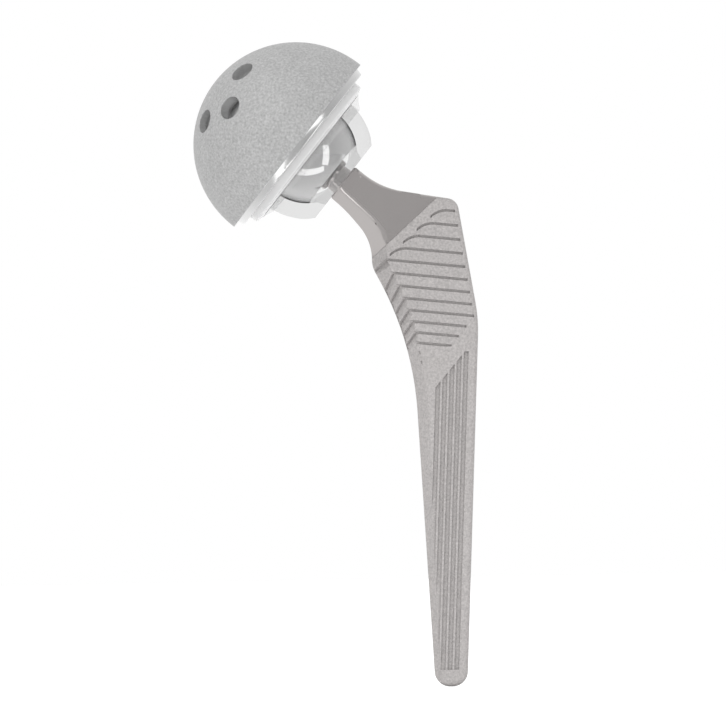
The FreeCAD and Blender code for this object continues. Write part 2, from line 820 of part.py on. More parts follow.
def build_insert_cap():
    """The front half of the insert: it closes over the head and leaves a mouth for the neck."""
    body = make_body("insert_cap")
    sketch = make_sketch(body, "insert_cap_profile")
    flare = round_at("dims.ball_radius", "dims.ball_flare_at")
    face = f"{flare} - (dims.ball_face_at - dims.ball_flare_at)"
    spigot = f"{SPIGOT_RADIUS} - dims.spigot_gap"
    end = f"({SPIGOT_END} + dims.spigot_gap)"
    add_loop(sketch, [
        (round_at("dims.ball_radius", "dims.seam_at"), "dims.seam_at"),
        (flare, "dims.ball_flare_at"),
        (face, "dims.ball_face_at"),
        ("dims.mouth_radius", "dims.ball_face_at"),
        ("dims.mouth_inner", round_at(BEARING, "dims.mouth_inner")),
        (round_at(BEARING, end), end),
        (spigot, end),
        (spigot, "dims.seam_at"),
    ], {0: ("dims.ball_radius", 1), 4: (BEARING, -1)})
    revolve(body, "insert_cap_shell", sketch)
    turn_about_head(body, "dims.cup_slope", "-dims.head_offset", "dims.head_height")


def seat_at(height):
    """Radius of the taper seat between liner and shell, at a height over the shell's centre."""
    return f"dims.seat_radius - (dims.rim_at - ({height})) * tan(dims.seat_angle)"


CUP_X = "-dims.head_offset - dims.ball_to_shell * cos(dims.cup_slope)"
CUP_Z = "dims.head_height + dims.ball_to_shell * sin(dims.cup_slope)"


def build_liner():
    """The fixed liner: a dome on a taper seat, a flange and a tilted conical lip."""
    body = make_body("acetabular_liner")
    sketch = make_sketch(body, "liner_profile")
    foot = "-dims.seat_end"
    add_loop(sketch, [
        ("0", "-dims.liner_dome"),
        (round_at("dims.liner_dome", foot), foot),
        (seat_at(foot), foot),
        ("dims.seat_radius", "dims.rim_at"),
        ("dims.seat_radius", "dims.flange_at - dims.flange_round"),
        ("dims.seat_radius - dims.flange_round", "dims.flange_at"),
        ("dims.lip_root_radius", "dims.lip_root_at"),
        ("0", "dims.lip_root_at"),
    ], {0: ("dims.liner_dome", 1), 4: ("dims.flange_round", 1)})
    revolve(body, "liner_dome", sketch)
    circles = []
    for name, radius, height, tilt in (
            ("lip_root", "dims.lip_root_radius", "dims.lip_root_at", "0"),
            ("lip_end", "dims.lip_end_radius", "dims.lip_end_at", "dims.lip_tilt")):
        ring = make_sketch(body, name, "XY_Plane")
        ring.AttachmentOffset = FreeCAD.Placement(
            Vector(0, 0, size(height)), FreeCAD.Rotation(Y_AXIS, QUARTER))
        ring.setExpression("AttachmentOffset.Base.z", height)
        ring.setExpression("AttachmentOffset.Rotation.Angle", tilt)
        circle = ring.addGeometry(Part.Circle(Vector(), Z_AXIS, size(radius)), False)
        pin_point(ring, circle, CENTRE, ("0", "0"))
        pin_radius(ring, circle, radius)
        circles.append(ring)
    loft = body.newObject("PartDesign::AdditiveLoft", "liner_lip")
    loft.Profile = circles[0]
    loft.Sections = circles[1:]
    document.recompute()
    cavity = make_sketch(body, "cavity_profile")
    radius = "(dims.ball_radius + dims.ball_gap)"
    add_loop(cavity, [
        ("0", f"dims.ball_to_shell - {radius}"),
        (radius, "dims.ball_to_shell"),
        (radius, f"dims.ball_to_shell + {radius}"),
        ("0", f"dims.ball_to_shell + {radius}"),
    ], {0: (radius, 1)})
    revolve(body, "ball_cavity", cavity, "PartDesign::Groove")
    turn_about_head(body, "dims.cup_slope", CUP_X, CUP_Z)


def build_shell():
    """The metal shell: a dome under coating, a bare rim, a taper seat and screw holes."""
    body = make_body("acetabular_shell")
    sketch = make_sketch(body, "shell_profile")
    low = "-dims.seat_end"
    add_loop(sketch, [
        ("0", "-dims.shell_radius"),
        (round_at("dims.shell_radius", "dims.coat_rim_at"), "dims.coat_rim_at"),
        ("dims.rim_radius", "dims.coat_rim_at"),
        ("dims.rim_radius", "dims.rim_at - dims.rim_round"),
        ("dims.rim_radius - dims.rim_round", "dims.rim_at"),
        ("dims.seat_radius", "dims.rim_at"),
        (seat_at(low), low),
        (round_at("dims.shell_cavity", low), low),
        ("0", "-dims.shell_cavity"),
    ], {0: ("dims.shell_radius", 1), 3: ("dims.rim_round", 1), 7: ("dims.shell_cavity", -1)})
    revolve(body, "shell_dome", sketch)
    for name in ("one", "two", "three"):
        polar = math.radians(size(f"dims.hole_{name}_polar"))
        turn = math.radians(size(f"dims.hole_{name}_turn"))
        mouth = Vector(-math.sin(polar) * math.sin(turn), -math.sin(polar) * math.cos(turn),
                       -math.cos(polar)) * size("dims.shell_radius")
        aim = Vector(0, 0, size(f"dims.hole_{name}_aim"))
        out = (mouth - aim).normalize()
        foot = aim + out * size("dims.seat_end")
        lean = FreeCAD.Rotation(Z_AXIS, out)
        seat = body.newObject("PartDesign::SubtractiveCylinder", f"screw_seat_{name}")
        seat.setExpression("Radius", "dims.hole_seat_radius")
        seat.setExpression("Height", "dims.shell_cavity + dims.hole_seat_depth - dims.seat_end")
        seat.Placement = FreeCAD.Placement(foot, lean)
        hole = body.newObject("PartDesign::SubtractiveCylinder", f"screw_hole_{name}")
        hole.setExpression("Radius", "dims.hole_radius")
        hole.setExpression("Height", "dims.shell_radius")
        hole.Placement = FreeCAD.Placement(foot, lean)
        document.recompute()
    turn_about_head(body, "dims.cup_slope", CUP_X, CUP_Z)


build_stem()
build_head()
build_insert_cup()
build_insert_cap()
build_liner()
build_shell()
document.recompute()

failed = [item.Name for item in document.Objects
          if "Invalid" in item.State or "Error" in item.State]
if failed:
    raise RuntimeError(f"failed features: {failed}")
pieces = [item for item in document.Objects if item.TypeId == "PartDesign::Body"]
for piece in pieces:
    if piece.Shape.isNull() or not piece.Shape.isValid():
        raise RuntimeError(f"no valid shape: {piece.Label}")
os.makedirs("parts", exist_ok=True)
for piece in pieces:
    piece.Shape.exportStep(f"parts/{piece.Label}.step")
    print(piece.Label, round(piece.Shape.Volume, 1), len(piece.Shape.Solids), piece.Shape.BoundBox)
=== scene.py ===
# %% [markdown]
# A total hip implant on white, as a maker would photograph it for a catalogue. Six rigid pieces
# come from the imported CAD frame: a forged stem, the metal ball pressed on its taper, the two
# halves of a clear ball insert, a pale liner and a coated metal shell. This lesson gives them
# smooth skins, real finishes, a thread in the stem's socket, soft light and a camera.

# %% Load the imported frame
import math

import bmesh
import bpy
from mathutils import Matrix, Vector


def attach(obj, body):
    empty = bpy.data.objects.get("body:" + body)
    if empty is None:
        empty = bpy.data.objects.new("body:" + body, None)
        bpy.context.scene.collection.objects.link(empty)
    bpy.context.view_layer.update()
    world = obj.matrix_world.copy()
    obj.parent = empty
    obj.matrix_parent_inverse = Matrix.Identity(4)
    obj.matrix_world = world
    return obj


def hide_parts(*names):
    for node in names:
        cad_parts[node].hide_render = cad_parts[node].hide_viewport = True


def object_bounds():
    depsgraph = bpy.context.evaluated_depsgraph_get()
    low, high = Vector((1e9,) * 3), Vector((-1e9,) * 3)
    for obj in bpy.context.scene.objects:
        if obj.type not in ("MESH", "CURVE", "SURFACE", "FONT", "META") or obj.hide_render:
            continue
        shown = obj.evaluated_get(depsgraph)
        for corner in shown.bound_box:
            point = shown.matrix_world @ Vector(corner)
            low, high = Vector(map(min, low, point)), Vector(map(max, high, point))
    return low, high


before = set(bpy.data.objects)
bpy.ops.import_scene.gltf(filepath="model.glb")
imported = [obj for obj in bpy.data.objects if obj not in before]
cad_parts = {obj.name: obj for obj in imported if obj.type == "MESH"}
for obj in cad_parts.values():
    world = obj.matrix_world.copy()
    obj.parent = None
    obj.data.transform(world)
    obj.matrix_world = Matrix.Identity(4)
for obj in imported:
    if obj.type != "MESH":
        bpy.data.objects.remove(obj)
cad_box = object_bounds()
print("nodes:", sorted(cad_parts))

# %% [markdown]
# Every length below is in metres, as in Blender. A few helpers keep the numbers readable:
# millimetres turned to metres, and the two slanted directions that the implant is built on.

# %% Units and directions
MM = 0.001
HEAD_CENTRE = Vector((-37.9, 0, 30.1)) * MM
CUP_SLOPE = math.radians(39.1)
NECK_SLOPE = math.radians(40)
CUP_MOUTH = Vector((math.cos(CUP_SLOPE), 0, -math.sin(CUP_SLOPE)))
NECK_WAY = Vector((math.cos(NECK_SLOPE), 0, -math.sin(NECK_SLOPE)))
SHELL_BEHIND_HEAD = 3.84 * MM
SHELL_CENTRE = HEAD_CENTRE - CUP_MOUTH * SHELL_BEHIND_HEAD
print("head centre:", tuple(HEAD_CENTRE), "shell centre:", tuple(SHELL_CENTRE))

# %% [markdown]
# The photograph looks straight at the implant's front with a long lens, so there is hardly any
# perspective. The camera stands level, six metres away, rolled by about one degree, and its
# field is 205 mm wide at the implant.

# %% Camera
CAMERA_DISTANCE = 6.0
FIELD_WIDTH = 0.2050
CAMERA_ROLL = math.radians(1.1325)
CAMERA_AIM = Vector((-0.0232, 0, -0.0293))
SENSOR_WIDTH_MM = 36
SIGHT_END = 20

camera_data = bpy.data.cameras.new("camera")
camera = bpy.data.objects.new("camera", camera_data)
bpy.context.collection.objects.link(camera)
camera_right = Vector((math.cos(CAMERA_ROLL), 0, -math.sin(CAMERA_ROLL)))
camera_up = Vector((math.sin(CAMERA_ROLL), 0, math.cos(CAMERA_ROLL)))
camera_back = camera_right.cross(camera_up)
turn = Matrix((camera_right, camera_up, camera_back)).transposed()
camera.matrix_world = (Matrix.Translation(CAMERA_AIM + camera_back * CAMERA_DISTANCE)
                       @ turn.to_4x4())
camera_data.sensor_width = SENSOR_WIDTH_MM
camera_data.lens = camera_data.sensor_width * CAMERA_DISTANCE / FIELD_WIDTH
camera_data.clip_end = SIGHT_END
bpy.context.scene.camera = camera
bpy.context.scene.view_settings.view_transform = "Standard"
print("lens:", round(camera_data.lens, 1), "mm")

# %% [markdown]
# Node trees are easier to read when one line makes a node and sets its inputs. A small class
# holds the tree: `add` makes a node, `link` joins an output to an input, and the other calls
# make the nodes that come up most often and give back their output.

# %% A helper for node trees
COOL_SHARE = 0.3
NODES_IN_ROW, NODE_STEP, ROW_STEP = 8, 200, 260


class Tree:
    """Short calls for making and joining the nodes of one node tree."""

    def __init__(self, tree):
        self.tree = tree
        self.count = 0

    def add(self, kind, inputs=None, **settings):
        node = self.tree.nodes.new(kind)
        row, column = divmod(self.count, NODES_IN_ROW)
        node.location = (NODE_STEP * column, -ROW_STEP * row)
        self.count += 1
        for name, value in settings.items():
            setattr(node, name, value)
        for name, value in (inputs or {}).items():
            if isinstance(value, bpy.types.NodeSocket):
                self.tree.links.new(value, node.inputs[name])
            else:
                node.inputs[name].default_value = value
        return node

    def link(self, output, node, name):
        self.tree.links.new(output, node.inputs[name])

    def math(self, operation, *values, clamp=False):
        node = self.add("ShaderNodeMath", operation=operation, use_clamp=clamp)
        for number, value in enumerate(values):
            if isinstance(value, bpy.types.NodeSocket):
                self.tree.links.new(value, node.inputs[number])
            else:
                node.inputs[number].default_value = value
        return node.outputs[0]

    def vector(self, operation, *values):
        """A vector operation: its vector, or its number for a length or a dot product."""
        node = self.add("ShaderNodeVectorMath", dict(enumerate(values)), operation=operation)
        return node.outputs["Value" if operation in ("DOT_PRODUCT", "LENGTH") else "Vector"]

    def noise(self, place, scale, detail, **more):
        inputs = {"Vector": place, "Scale": scale, "Detail": detail, **more}
        return self.add("ShaderNodeTexNoise", inputs).outputs["Fac"]

    def object_place(self):
        return self.add("ShaderNodeTexCoord").outputs["Object"]

    def mix(self, factor, first, second):
        node = self.add("ShaderNodeMix", data_type="RGBA")
        for name, value in (("Factor_Float", factor), ("A_Color", first), ("B_Color", second)):
            socket = next(item for item in node.inputs if item.identifier == name)
            if isinstance(value, bpy.types.NodeSocket):
                self.tree.links.new(value, socket)
            else:
                socket.default_value = value
        return next(item for item in node.outputs if item.identifier == "Result_Color")

    def mix_value(self, factor, first, second):
        node = self.add("ShaderNodeMix", {"Factor": factor, "A": first, "B": second})
        return node.outputs[0]

    def bump(self, shader, height, strength, distance):
        """Give the shader a bump from a height."""
        node = self.add("ShaderNodeBump", {"Height": height, "Strength": strength,
                                           "Distance": distance})
        self.link(node.outputs[0], shader, "Normal")

    def ramp(self, factor, stops):
        node = self.add("ShaderNodeValToRGB", {"Fac": factor})
        elements = node.color_ramp.elements
        for number, (place, value) in enumerate(stops):
            if number < len(elements):
                stop = elements[number]
                stop.position = place
            else:
                stop = elements.new(place)
            stop.color = (value, value, value, 1)
        return node.outputs["Color"]


def grey(level, warm=0.0):
    """A linear grey; warm above 0 leans it towards red."""
    return (level * (1 + warm), level, level * (1 - warm * COOL_SHARE), 1)


def new_material(name):
    material = bpy.data.materials.new(name)
    material.use_nodes = True
    tree = Tree(material.node_tree)
    shader = material.node_tree.nodes["Principled BSDF"]
    return material, tree, shader


print("node helpers ready")

# %% [markdown]
# The background of the photograph is plain white, with no horizon. The world is white where
# the camera, a reflection or a clear piece looks at it, and a softer grey as a light, so that
# the implant isn't washed out. Reflections fall off towards the camera's side, where a studio
# is dark: that is what gives polished metal its grey faces beside white edges. The ramp reads
# the ray's depth, from 0 towards the camera to 1 straight away from it.

# %% World
AMBIENT = 0.80
DARK_SIDE = 0.66
STUDIO_FALL = [(0.0, DARK_SIDE), (0.3, DARK_SIDE), (0.5, 0.78), (0.9, 1.0)]

world = bpy.data.worlds.new("studio")
bpy.context.scene.world = world
world.use_nodes = True
world.node_tree.nodes.clear()
sky = Tree(world.node_tree)
path = sky.add("ShaderNodeLightPath")
where = sky.add("ShaderNodeTexCoord")
split = sky.add("ShaderNodeSeparateXYZ", {"Vector": where.outputs["Generated"]})
reflected = sky.ramp(sky.math("MULTIPLY_ADD", split.outputs["Y"], 0.5, 0.5), STUDIO_FALL)
clear = sky.math("MAXIMUM", path.outputs["Is Camera Ray"],
                 path.outputs["Is Transmission Ray"])
level = sky.mix(path.outputs["Is Glossy Ray"], grey(AMBIENT), reflected)
level = sky.mix(clear, level, grey(1))
background = sky.add("ShaderNodeBackground", {"Color": level})
sky.add("ShaderNodeOutputWorld", {"Surface": background.outputs[0]})
print("world nodes:", len(world.node_tree.nodes))

# %% [markdown]
# The floor is a wide pale sheet at the height of the stem's tip. It is lit like any surface,
# so it keeps the implant's soft shadow, and an emission that only the camera and reflections
# see lifts it to the white of the background. In reflections its front half stays darker, as
# the camera's side of the studio does.

# %% Floor
FLOOR_HALF, FLOOR_CELLS = 3.0, 12
FLOOR_GAP = 0.2 * MM
FLOOR_LIFT = 0.64
PAPER_LEAST, PAPER_MOST, PAPER_ROUGHNESS = grey(0.69), grey(0.72), 0.9
FIBRE_SCALE, FIBRE_DETAIL = 40.0, 3.0
MIRRORED_RISE, MIRRORED_MIDDLE = 5.0, 0.60

floor_mesh = bpy.data.meshes.new("floor")
ground = bmesh.new()
bmesh.ops.create_grid(ground, x_segments=FLOOR_CELLS, y_segments=FLOOR_CELLS, size=FLOOR_HALF)
bmesh.ops.translate(ground, verts=ground.verts, vec=(0, 0, cad_box[0][2] - FLOOR_GAP))
ground.to_mesh(floor_mesh)
ground.free()
floor = bpy.data.objects.new("floor", floor_mesh)
bpy.context.collection.objects.link(floor)
paper, tree, shader = new_material("floor_paper")
fibre = tree.add("ShaderNodeTexNoise", {"Scale": FIBRE_SCALE, "Detail": FIBRE_DETAIL})
shader.inputs["Roughness"].default_value = PAPER_ROUGHNESS
tree.link(tree.mix(fibre.outputs["Fac"], PAPER_LEAST, PAPER_MOST), shader, "Base Color")
rays = tree.add("ShaderNodeLightPath")
depth = tree.add("ShaderNodeSeparateXYZ", {"Vector": tree.object_place()}).outputs["Y"]
behind = tree.math("MULTIPLY_ADD", depth, MIRRORED_RISE, MIRRORED_MIDDLE, clamp=True)
mirrored = tree.math("MULTIPLY", rays.outputs["Is Glossy Ray"], behind)
seen = tree.math("MAXIMUM", rays.outputs["Is Camera Ray"], mirrored)
seen = tree.math("MAXIMUM", seen, rays.outputs["Is Transmission Ray"])
tree.link(tree.mix(seen, grey(0), grey(FLOOR_LIFT)), shader, "Emission Color")
shader.inputs["Emission Strength"].default_value = 1.0
floor_mesh.materials.append(paper)
print("floor at", round(floor.bound_box[0][2], 4))

# %% [markdown]
# Three soft lamps shape the implant: a broad key from the upper left, a tall window to the
# right of the camera, and a small strip lying low in front. The window and the strip draw the
# upright and the level bar that the photograph shows on the metal ball. Each lamp has a place,
# a target, a width, a height and a power in watts.

# %% Lamps
def area_lamp(name, place, target, width, height, power):
    """A rectangular soft lamp at a place, turned towards a target."""
    data = bpy.data.lights.new(name, "AREA")
    data.shape = "RECTANGLE"
    data.size = width
    data.size_y = height
    data.energy = power
    lamp = bpy.data.objects.new(name, data)
    bpy.context.collection.objects.link(lamp)
    lamp.location = place
    way = Vector(target) - Vector(place)
    lamp.rotation_euler = way.to_track_quat("-Z", "Y").to_euler()
    lamp.visible_camera = False
    return lamp


MIDDLE = Vector((-0.02, 0, -0.03))
WINDOW_FROM_HEAD = Vector((0.707, -0.697, -0.110)) * 0.33
STRIP_FROM_HEAD = Vector((-0.03, -0.704, -0.692)) * 0.19
LAMPS = [
    ("key", (-0.9, -1.0, 1.1), MIDDLE, 0.8, 0.8, 6),
    ("window", HEAD_CENTRE + WINDOW_FROM_HEAD, HEAD_CENTRE, 0.092, 0.27, 0.105),
    ("low_strip", HEAD_CENTRE + STRIP_FROM_HEAD, HEAD_CENTRE, 0.30, 0.05, 0.062),
]
for lamp_values in LAMPS:
    area_lamp(*lamp_values)
print("lamps:", len(bpy.data.lights))

# %% [markdown]
# The shell and the stem carry a plasma-sprayed titanium coat: a crust of grains a third of a
# millimetre across, rough enough to feel like sandpaper. One shader group serves both. It
# gives a colour with light and dark grains, a roughness, and a height for the bump.

# %% Group: sprayed coat
def new_group(name, inputs, outputs):
    """A shader node group; inputs maps a name to its type and value."""
    group = bpy.data.node_groups.new(name, "ShaderNodeTree")
    for label, (kind, value) in inputs.items():
        socket = group.interface.new_socket(label, in_out="INPUT", socket_type=kind)
        if value is not None:
            socket.default_value = value
    for label, kind in outputs.items():
        group.interface.new_socket(label, in_out="OUTPUT", socket_type=kind)
    tree = Tree(group)
    return group, tree, tree.add("NodeGroupInput"), tree.add("NodeGroupOutput")


FLOAT, COLOUR, VECTOR = "NodeSocketFloat", "NodeSocketColor", "NodeSocketVector"
GRAIN_SCALE, GRAIN_DETAIL, GRAIN_ROUGHNESS = 1500.0, 2.5, 0.65
PIT_SCALE_SHARE, PIT_DEPTH = 0.55, 0.5
CLOUD_SCALE, CLOUD_DETAIL, CLOUD_STRENGTH = 160.0, 3.0, 0.10
COAT_ROUGH_LEAST, COAT_ROUGH_SPAN = 0.55, 0.25

coat_group, tree, given, result = new_group(
    "sprayed_coat",
    {"Vector": (VECTOR, None), "Tone": (COLOUR, grey(0.45)), "Grain": (FLOAT, 1.0),
     "Contrast": (FLOAT, 0.2)},
    {"Color": COLOUR, "Roughness": FLOAT, "Height": FLOAT})
place = given.outputs["Vector"]
scale = tree.math("MULTIPLY", given.outputs["Grain"], GRAIN_SCALE)
grains = tree.noise(place, scale, GRAIN_DETAIL, Roughness=GRAIN_ROUGHNESS)
pit_scale = tree.math("MULTIPLY", scale, PIT_SCALE_SHARE)
pits = tree.add("ShaderNodeTexVoronoi", {"Vector": place, "Scale": pit_scale})
clouds = tree.noise(place, CLOUD_SCALE, CLOUD_DETAIL)
speck = tree.math("SUBTRACT", grains, 0.5)
speck = tree.math("MULTIPLY", speck, given.outputs["Contrast"])
cloud = tree.math("MULTIPLY", tree.math("SUBTRACT", clouds, 0.5), CLOUD_STRENGTH)
light = tree.math("ADD", tree.math("ADD", speck, cloud), 1.0)
tree.link(tree.vector("MULTIPLY", given.outputs["Tone"], light), result, "Color")
rough = tree.math("MULTIPLY_ADD", grains, COAT_ROUGH_SPAN, COAT_ROUGH_LEAST)
tree.link(rough, result, "Roughness")
height = tree.math("MULTIPLY_ADD", pits.outputs["Distance"], -PIT_DEPTH, grains)
tree.link(height, result, "Height")
print("group:", coat_group.name, len(coat_group.nodes), "nodes")

# %% [markdown]
# Polished parts still carry faint turning or grinding lines and slight smears. The second
# group gives them a colour and a roughness that vary a little, and a very low height.

# %% Group: polished metal
SMEAR_SCALE, SMEAR_DETAIL = 90.0, 4.0
LINE_SCALE, LINE_DETAIL = 1500.0, 2.0
SMEAR_TONE, SMEAR_GLOSS = 0.08, 0.10

polish_group, tree, given, result = new_group(
    "polish",
    {"Vector": (VECTOR, None), "Tone": (COLOUR, grey(0.6)), "Gloss": (FLOAT, 0.15)},
    {"Color": COLOUR, "Roughness": FLOAT, "Height": FLOAT})
place = given.outputs["Vector"]
smear = tree.noise(place, SMEAR_SCALE, SMEAR_DETAIL)
fine = tree.noise(place, LINE_SCALE, LINE_DETAIL)
light = tree.math("MULTIPLY_ADD", smear, SMEAR_TONE, 1 - SMEAR_TONE / 2)
tree.link(tree.vector("MULTIPLY", given.outputs["Tone"], light), result, "Color")
rough = tree.math("MULTIPLY_ADD", smear, SMEAR_GLOSS, -SMEAR_GLOSS / 2)
tree.link(tree.math("ADD", rough, given.outputs["Gloss"]), result, "Roughness")
tree.link(fine, result, "Height")
print("group:", polish_group.name, len(polish_group.nodes), "nodes")

# %% [markdown]
# The stem is one forging with two finishes. Above a slanted line, from the top of the shoulder
# to the calcar, the neck is polished. Below it the body is coated. A mask on object
# coordinates splits them: the distance to that line, roughened by the grains, and the inside
# of the threaded socket stays bare. Ambient occlusion paints shade into the coat's colour where
# a ledge, a notch or a flute keeps the light out. Mixing values before one Principled shader,
# instead of mixing two shaders, keeps the material simple to export.

# %% Stem material
def place_group(tree, group, inputs):
    node = tree.add("ShaderNodeGroup", node_tree=group)
    for name, value in inputs.items():
        if isinstance(value, bpy.types.NodeSocket):
            tree.link(value, node, name)
        else:
            node.inputs[name].default_value = value
    return node


def two_finishes(tree, shader, bare, coat_colour, coat, bright, shine):
    """The coat where bare is 0 and the polish where it is 1; shine is where it is all metal."""
    tree.link(tree.mix(bare, coat_colour, bright.outputs["Color"]), shader, "Base Color")
    rough = tree.mix_value(bare, coat.outputs["Roughness"], bright.outputs["Roughness"])
    tree.link(rough, shader, "Roughness")
    metallic = tree.math("MULTIPLY_ADD", shine, 1 - COAT_METALLIC, COAT_METALLIC)
    tree.link(metallic, shader, "Metallic")


COAT_METALLIC = 0.35
COAT_EDGE_TOP = Vector((-1.11, 0, 16.97)) * MM
COAT_EDGE_WAY = Vector((-18.46, 0, -16.58)).normalized()
COAT_EDGE_OUT = Vector((COAT_EDGE_WAY.z, 0, -COAT_EDGE_WAY.x))
COAT_EDGE_RAGGED, COAT_EDGE_SHARPNESS = 0.3 * MM, 9000.0
COAT_STEP = 1.5
STEM_BUMP = (0.7, 0.18 * MM)
SOCKET_RADIUS, SOCKET_FLOOR = 3.1 * MM, 4.0 * MM
GROOVE_REACH, GROOVE_RAYS = 1.6 * MM, 8
# Painted shade in the coat's ledges, notches and flutes: its strength and its dark colour.
HOLLOW_SHADE, PAINTED_SHADE_TONE = 0.45, grey(0.16, 0.05)

stem_metal, tree, shader = new_material("stem_coat_and_polish")
place = tree.object_place()
coat = place_group(tree, coat_group, {"Vector": place, "Tone": grey(0.48, 0.045),
                                      "Grain": 1.1, "Contrast": 0.95})
bright = place_group(tree, polish_group, {"Vector": place, "Tone": grey(0.445, 0.055),
                                          "Gloss": 0.16})
offset = tree.vector("SUBTRACT", place, COAT_EDGE_TOP)
beyond = tree.vector("DOT_PRODUCT", offset, COAT_EDGE_OUT)
ragged = tree.math("MULTIPLY_ADD", coat.outputs["Height"], COAT_EDGE_RAGGED,
                   -COAT_EDGE_RAGGED / 2)
beyond = tree.math("ADD", beyond, ragged)
bare = tree.math("MULTIPLY_ADD", beyond, COAT_EDGE_SHARPNESS, 0.5, clamp=True)
axes = tree.add("ShaderNodeSeparateXYZ", {"Vector": place})
spread = tree.math("SQRT", tree.math("ADD", tree.math("POWER", axes.outputs["X"], 2.0),
                                     tree.math("POWER", axes.outputs["Y"], 2.0)))
inside = tree.math("MULTIPLY", tree.math("LESS_THAN", spread, SOCKET_RADIUS),
                   tree.math("GREATER_THAN", axes.outputs["Z"], SOCKET_FLOOR))
bare = tree.math("MAXIMUM", bare, inside)
# Painted shade: ambient occlusion darkens the coat's colour in ledges, notches and flutes.
open_to_light = tree.add("ShaderNodeAmbientOcclusion", {"Distance": GROOVE_REACH},
                         samples=GROOVE_RAYS)
painted_hollow_shade = tree.math("SUBTRACT", 1.0, open_to_light.outputs["AO"])
painted_hollow_shade = tree.math("MULTIPLY", painted_hollow_shade, HOLLOW_SHADE, clamp=True)
coat_colour = tree.mix(painted_hollow_shade, coat.outputs["Color"], PAINTED_SHADE_TONE)
two_finishes(tree, shader, bare, coat_colour, coat, bright, bare)
covered = tree.math("SUBTRACT", 1.0, bare)
height = tree.math("MULTIPLY", coat.outputs["Height"], covered)
height = tree.math("ADD", height, tree.math("MULTIPLY", covered, COAT_STEP))
tree.bump(shader, height, *STEM_BUMP)
print("stem material:", len(stem_metal.node_tree.nodes), "nodes")

# %% [markdown]
# The shell has the same coat, a shade cooler, and a bare rim. Here the mask is the height
# along the cup's axis: the coat stops half a millimetre outside the shell's centre plane. Under
# the coat, in the cavity and in the screw holes, the metal is machined and bare.

# %% Shell material
COAT_RIM_AT = 0.45 * MM
COAT_FOOT = 28.7 * MM
SHELL_BUMP = (0.6, 0.16 * MM)


def cup_offset(tree, place):
    """The vector from the shell's centre, and how far it reaches along the cup's axis."""
    offset = tree.vector("SUBTRACT", place, SHELL_CENTRE)
    return offset, tree.vector("DOT_PRODUCT", offset, CUP_MOUTH)


shell_metal, tree, shader = new_material("shell_coat_and_rim")
place = tree.object_place()
coat = place_group(tree, coat_group, {"Vector": place, "Tone": grey(0.51), "Grain": 1.0,
                                      "Contrast": 1.1})
bright = place_group(tree, polish_group, {"Vector": place, "Tone": grey(0.59), "Gloss": 0.18})
offset, along = cup_offset(tree, place)
rim = tree.math("GREATER_THAN", along, COAT_RIM_AT)
under_coat = tree.math("LESS_THAN", tree.vector("LENGTH", offset), COAT_FOOT)
bare = tree.math("MAXIMUM", rim, under_coat)
two_finishes(tree, shader, bare, coat.outputs["Color"], coat, bright, rim)
height = tree.math("MULTIPLY", coat.outputs["Height"], tree.math("SUBTRACT", 1.0, bare))
tree.bump(shader, height, *SHELL_BUMP)
print("shell material:", len(shell_metal.node_tree.nodes), "nodes")

# %% [markdown]
# The ball is cobalt chromium polished like a mirror. It mostly shows its surroundings, so its
# own nodes do little more than vary the roughness.

# %% Ball material
BALL_BUMP = (0.03, 0.02 * MM)

head_metal, tree, shader = new_material("mirror_polish")
bright = place_group(tree, polish_group, {"Vector": tree.object_place(), "Tone": grey(0.79),
                                          "Gloss": 0.06})
tree.link(bright.outputs["Color"], shader, "Base Color")
tree.link(bright.outputs["Roughness"], shader, "Roughness")
shader.inputs["Metallic"].default_value = 1.0
tree.bump(shader, bright.outputs["Height"], *BALL_BUMP)
print("ball material:", len(head_metal.node_tree.nodes), "nodes")

# %% [markdown]
# The insert is clear plastic, and in the photograph it doesn't bend what lies behind it, so it
# is made as a thin veil: a small alpha that lets the ball show through undistorted, under a
# glossy coat. Like glass, it grows denser towards its edge. On the bearing surface round the
# ball, painted shade darkens the colour at its edge, standing in for the dark rim that clear
# plastic shows there, and draws the fine outline of the ball. Its back faces don't shine, since
# reflections from inside would show as white specks.

# %% Insert material
BEARING_EDGE, BEARING_END = 15.2 * MM, 9.4 * MM
# Painted shade at the bearing's edge: how sharply it rises, its gain, its alpha and its
# near-black colour.
PAINTED_EDGE_POWER, PAINTED_EDGE_GAIN, PAINTED_EDGE_ALPHA = 5.0, 2.6, 0.8
VEIL_TONES, PAINTED_EDGE_COLOUR = (grey(0.42), grey(0.47)), grey(0.02)
VEIL_ALPHA, VEIL_EDGE, VEIL_EDGE_POWER = 0.17, 0.2, 6.0
HAZE_SCALE, HAZE_DETAIL, HAZE_ROUGHNESS = 120.0, 2.0, 0.04
FRONT_SPECULAR = 0.5
PLASTIC_IOR = 1.45

insert_plastic, tree, shader = new_material("clear_insert")
place = tree.object_place()
haze = tree.noise(place, HAZE_SCALE, HAZE_DETAIL)
offset = tree.vector("SUBTRACT", place, HEAD_CENTRE)
bearing = tree.math("LESS_THAN", tree.vector("LENGTH", offset), BEARING_EDGE)
facing = tree.add("ShaderNodeLayerWeight", {"Blend": 0.5}).outputs["Facing"]
ahead = tree.vector("DOT_PRODUCT", offset, NECK_WAY)
touching = tree.math("MULTIPLY", bearing, tree.math("LESS_THAN", ahead, BEARING_END))
